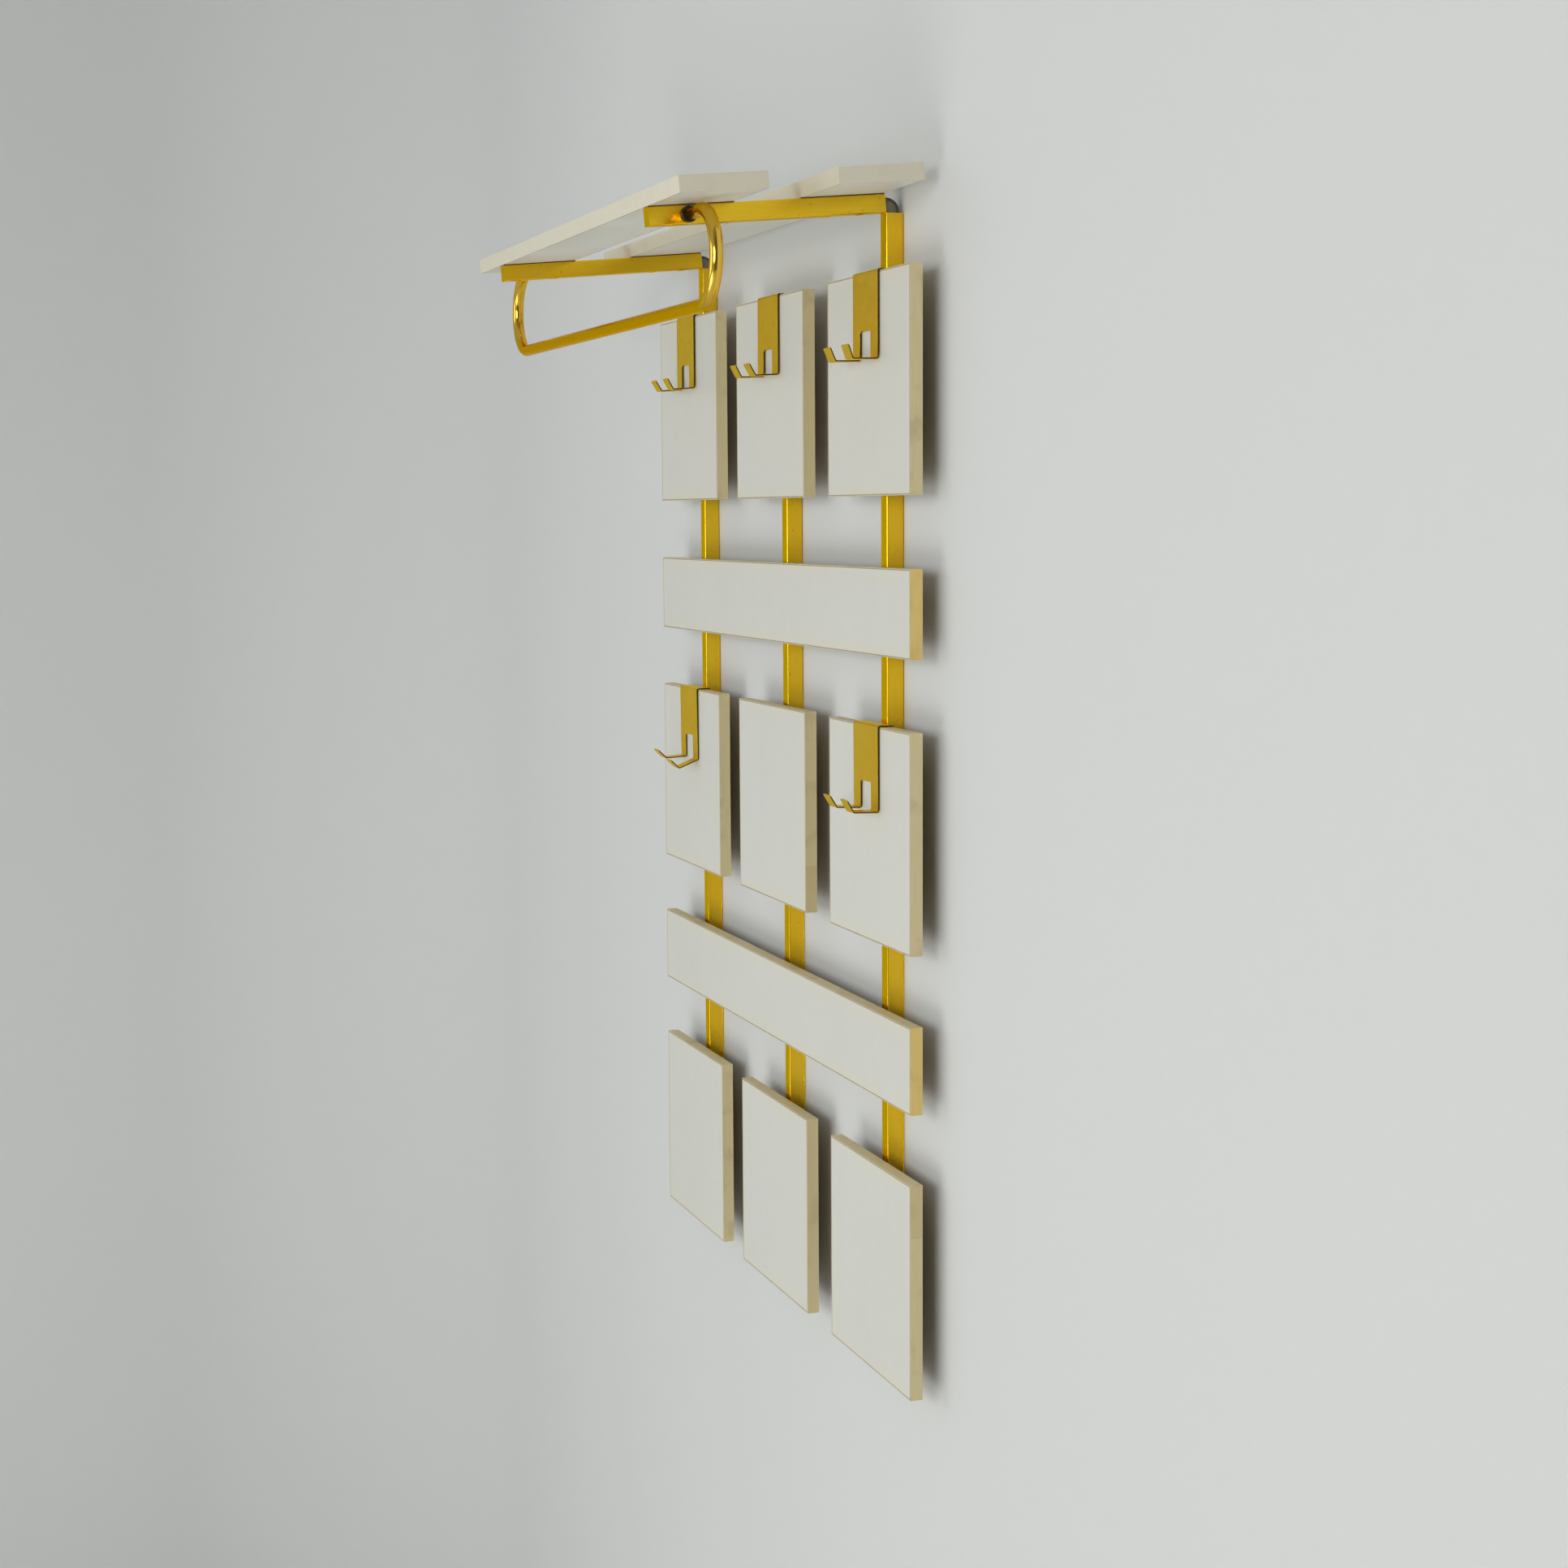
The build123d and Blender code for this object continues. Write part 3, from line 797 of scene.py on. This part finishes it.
tube_recipe = Recipe("tube", Radius=float, Sides=int)
ring = tube_recipe.node("GeometryNodeCurvePrimitiveCircle", None, {
    "Resolution": tube_recipe.input("Sides"), "Radius": tube_recipe.input("Radius"),
})
skin = tube_recipe.node("GeometryNodeCurveToMesh", None, {
    "Curve": tube_recipe.input("Geometry"), "Profile Curve": ring,
})
tube_recipe.finish(skin, smooth=True)
bar = grow(
    "hanging_bar", route, tube_recipe,
    Radius=bar_radius, Sides=tube_sides, Material=gold_tube,
)
wall = bar.modifiers.new("wall", "SOLIDIFY")
wall.thickness = bar_wall
wall.offset = -1
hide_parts("bar_tube")
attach(bar, "bar")
print("bar faces", len(bar.data.polygons), "bend radius", round(bar_bend, 4))

# %% [markdown]
# ## The hooks
#
# A hook's shape is already exact, bends and slot included, but its edges are knife sharp. A real
# sheared and tumbled strip has a small radius on every edge, and that radius is what glints.
# So a copy of each hook has its doubled corners merged and its flat faces joined, and a
# Bevel rounds what is left. The faces that look sideways are the cuts, and are marked `sheared`.
# Faces that meet at more than 20 degrees keep a sharp edge between them, because smooth shading
# across a bevel's border would smear over the flat faces.

# %% Hooks with rounded edges
hook_edge = 0.0004
same_point = 0.000005
same_plane = radians(0.5)
corner_angle = radians(50)
sharp_angle = radians(20)
sideways = 0.92


def rounded_hook(name):
    shape = bmesh.new()
    shape.from_mesh(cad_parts[name].data)
    bmesh.ops.remove_doubles(shape, verts=shape.verts, dist=same_point)
    bmesh.ops.dissolve_limit(
        shape, angle_limit=same_plane, verts=shape.verts, edges=shape.edges,
    )
    closed = [edge for edge in shape.edges if edge.is_manifold]
    corners = [edge for edge in closed if edge.calc_face_angle() > corner_angle]
    bmesh.ops.bevel(
        shape, geom=corners, offset=hook_edge, segments=2, profile=0.5, affect="EDGES",
        clamp_overlap=True, harden_normals=False,
    )
    shape.normal_update()
    layer = shape.faces.layers.float.new("sheared")
    for face in shape.faces:
        face[layer] = 1.0 if abs(face.normal.x) > sideways else 0.0
    mesh = bpy.data.meshes.new(name + "_sheet")
    shape.to_mesh(mesh)
    shape.free()
    mesh.materials.append(gold_sheet)
    for face in mesh.polygons:
        face.use_smooth = True
    mesh.set_sharp_from_angle(angle=sharp_angle)
    piece = bpy.data.objects.new(name + "_sheet", mesh)
    bpy.context.scene.collection.objects.link(piece)
    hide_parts(name)
    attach(piece, name)
    return piece


hook_names = sorted(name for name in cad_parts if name.startswith("hook_"))
for name in hook_names:
    piece = rounded_hook(name)
    print(piece.name, len(piece.data.polygons), "faces")

# %% [markdown]
# ## Caps under the arms
#
# The shelf screws are driven from below through holes in the arms, and a gold cap closes each
# hole. All eight are one shape, a flat disc with a sloping rim, so the tree makes the disc
# once and sets it on eight points. The points come from the arms and the screw inset. A cap
# reaches a little way into its arm, so no gap shows round it.

# %% Hole caps
cap_radius = 0.0062
cap_height = 0.0009
cap_sides = 32
cap_inset = 0.2
edge_share = 0.4
rim_narrowing = 0.78
screw_inset = 0.035

cap_recipe = Recipe("hole_cap", Radius=float, Height=float, Sides=int)
edge_height = cap_recipe.input("Height") * edge_share
rim_height = cap_recipe.input("Height") * (1 - edge_share)
disc = cap_recipe.node("GeometryNodeMeshCylinder", None, {
    "Vertices": cap_recipe.input("Sides"),
    "Radius": cap_recipe.input("Radius"),
    "Depth": edge_height,
})
raised = cap_recipe.node("GeometryNodeExtrudeMesh", None, {
    "Mesh": disc, "Selection": disc.twin("Bottom"), "Offset Scale": rim_height,
})
cap = cap_recipe.node("GeometryNodeScaleElements", None, {
    0: raised, "Selection": raised.twin("Top"), "Scale": rim_narrowing,
})
caps = cap_recipe.node("GeometryNodeInstanceOnPoints", None, {
    "Points": cap_recipe.input("Geometry"), "Instance": cap,
    "Rotation": cap_recipe.named("turn", "FLOAT_VECTOR"),
})
cap_recipe.finish(caps)

spots = []
for side in ("left", "right"):
    x = sum(corner.x for corner in rail_box[side]) / 2
    for rear_edge in rear_edges:
        for y in (rear_edge - screw_inset, rear_edge - shelf_depth + screw_inset):
            spots.append(shelf_frame @ Vector((x, y, -cap_inset * cap_height)))
points = strip_points([(spot, (arm_droop, 0, 0), 1.0, 0.0, 0.0) for spot in spots])
caps_piece = grow(
    "arm_hole_caps", points, cap_recipe,
    Radius=cap_radius, Height=cap_height, Sides=cap_sides, Material=gold_arm,
)
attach(caps_piece, "frame")
print("caps", len(spots), "faces", len(caps_piece.data.polygons))

# %% [markdown]
# ## The room
#
# The rack belongs on a wall, so the stage is a plain painted wall that rounds into a side wall,
# and a plain pale floor. From behind, the wall must not hide the rack: its paint is only on
# the room side, and a face seen from the back is clear. Direct light passes it too, so that a
# light behind the wall reaches the backs of the boards; light that has bounced does not, so
# the narrow dark gaps behind the panels stay dark when they are seen from the room. A shadow
# ray counts as one bounce further than the surface that sends it, so a direct one has depth 1,
# and the limit lies halfway to 2.

# %% Room paint
direct_depth = 1.5


def room_paint(name, colour):
    """Matt paint on the front of a surface; the surface is clear from behind."""
    finish = Finish(name)
    roller = finish.noise(260, detail=3)
    finish.relief(roller, 0.0002)
    shaded = tuple(0.96 * part for part in colour)
    finish.set(
        Base_Color=finish.mix(0.25 * finish.noise(1.5, detail=2), colour, shaded),
        Roughness=0.9,
        Specular_IOR_Level=0.1,
    )
    behind = finish.node("ShaderNodeNewGeometry", output="Backfacing")
    shadow = finish.node("ShaderNodeLightPath", output="Is Shadow Ray")
    direct = shadow * shadow.twin("Ray Depth").math("LESS_THAN", direct_depth)
    clear = finish.node("ShaderNodeBsdfTransparent")
    painted = Signal(finish, finish.shader.outputs[0])
    both = finish.node("ShaderNodeMixShader", None, {
        0: behind.math("MAXIMUM", direct), 1: painted, 2: clear,
    })
    finish.plug(finish.nodes["Material Output"].inputs["Surface"], both)
    return finish.material


wall_paint = room_paint("wall_paint", (0.735, 0.750, 0.740))
floor_paint = room_paint("floor_paint", (0.74, 0.745, 0.735))
print("room paints:", wall_paint.name, floor_paint.name)

# %% [markdown]
# ## Walls and floor
#
# The walls are one strip of upright faces along a line on the ground: straight behind the rack,
# a quarter circle, then straight along the side. The floor is a disc cut off at the side wall.

# %% Stage
def stage_mesh(name, points, faces, material, smooth=False):
    mesh = bpy.data.meshes.new(name)
    mesh.from_pydata(points, [], faces)
    mesh.materials.append(material)
    for face in mesh.polygons:
        face.use_smooth = smooth
    thing = bpy.data.objects.new(name, mesh)
    bpy.context.scene.collection.objects.link(thing)
    return thing


floor_drop = 1.5
floor_level = cad_low.z - floor_drop
ceiling_level = 4.0
wall_plane = 0.0006
side_wall = -2.6
cove = 0.7
cove_steps = 16
reach = 9.0
plan = [Vector((reach, wall_plane, 0))]
for step in range(cove_steps + 1):
    angle = pi / 2 * step / cove_steps
    x = side_wall + cove * (1 - sin(angle))
    plan.append(Vector((x, wall_plane - cove * (1 - cos(angle)), 0)))
plan.append(Vector((side_wall, -reach, 0)))
rows = [Vector((0, 0, floor_level)), Vector((0, 0, ceiling_level))]
corners = [spot + row for row in rows for spot in plan]
count = len(plan)
panes = [(i + 1, i, count + i, count + i + 1) for i in range(count - 1)]
walls = stage_mesh("wall", corners, panes, wall_paint, smooth=True)
floor_sides = 96
floor_reach = 5.5
floor_rim = []
for i in range(floor_sides):
    angle = 2 * pi * i / floor_sides
    x = max(side_wall, floor_reach * cos(angle))
    floor_rim.append(Vector((x, floor_reach * sin(angle), floor_level)))
stage_mesh("floor", floor_rim, [tuple(range(floor_sides))], floor_paint)
for index, side in ((0, "back wall"), (-1, "side wall")):
    print(side, "faces", [round(part, 2) for part in walls.data.polygons[index].normal])

# %% [markdown]
# ## Light
#
# One wide soft light stands to the right, as a window would, and reaches a little way behind
# every panel, so only the deep part of each gap stays dark. A weaker one fills from the left,
# one from below for the underside of the shelf and one from above for its top. A narrow beam
# from behind the wall shows the backs of the boards. The pale surroundings do the rest. They
# darken towards the right, because polished gold needs something darker than a white room to
# mirror, or it looks like yellow plastic.

# %% Softboxes and surroundings
def softbox(name, place, target, size, power, colour=(1, 1, 1), spread=180.0):
    lamp = bpy.data.lights.new(name, "AREA")
    lamp.shape = "RECTANGLE"
    lamp.size, lamp.size_y = size
    lamp.energy = power
    lamp.color = colour
    lamp.spread = radians(spread)
    holder = bpy.data.objects.new(name, lamp)
    holder.location = place
    holder.rotation_euler = (Vector(target) - Vector(place)).to_track_quat("-Z", "Y").to_euler()
    bpy.context.scene.collection.objects.link(holder)


rack_middle = (cad_low + cad_high) / 2
shelf_middle = Vector((0, -0.2, 0.1))
softbox("window_light", (3.9, -4.6, 0.3), rack_middle, (2.6, 2.2), 97, (1.0, 0.995, 0.985))
softbox("left_fill", (-1.6, -6.0, 0.2), rack_middle, (2.6, 2.6), 34, (0.97, 0.99, 1.0))
softbox("low_fill", (0.8, -3.6, -2.6), shelf_middle, (2.5, 2.5), 44, (1.0, 0.99, 0.96))
softbox("top_light", (0, -0.36, 2.5), shelf_middle, (1.8, 0.5), 3, spread=80.0)
softbox("rear_light", (0, 5.0, -1.9), rack_middle, (3.0, 2.2), 6, spread=10.0)

world = bpy.data.worlds.new("surroundings")
world.use_nodes = True
bpy.context.scene.world = world
sky = Tree(world.node_tree)
direction = sky.node("ShaderNodeTexCoord", output="Generated")
side = sky.node("ShaderNodeSeparateXYZ", None, {0: direction})
dark_side = sky.node("ShaderNodeMapRange", {"interpolation_type": "SMOOTHSTEP"}, {
    0: side, 1: 0.1, 2: 0.95, 3: 0.0, 4: 1.0,
})
tone = sky.node("ShaderNodeMix", {"data_type": "RGBA"}, {
    0: dark_side, 6: (0.40, 0.41, 0.42), 7: (0.10, 0.09, 0.08),
}, output=2)
seen = sky.node("ShaderNodeLightPath", output="Is Camera Ray")
backdrop = sky.node("ShaderNodeMix", {"data_type": "RGBA"}, {
    0: seen, 6: tone, 7: (0.62, 0.64, 0.64),
}, output=2)
sky.plug(world.node_tree.nodes["Background"].inputs["Color"], backdrop)
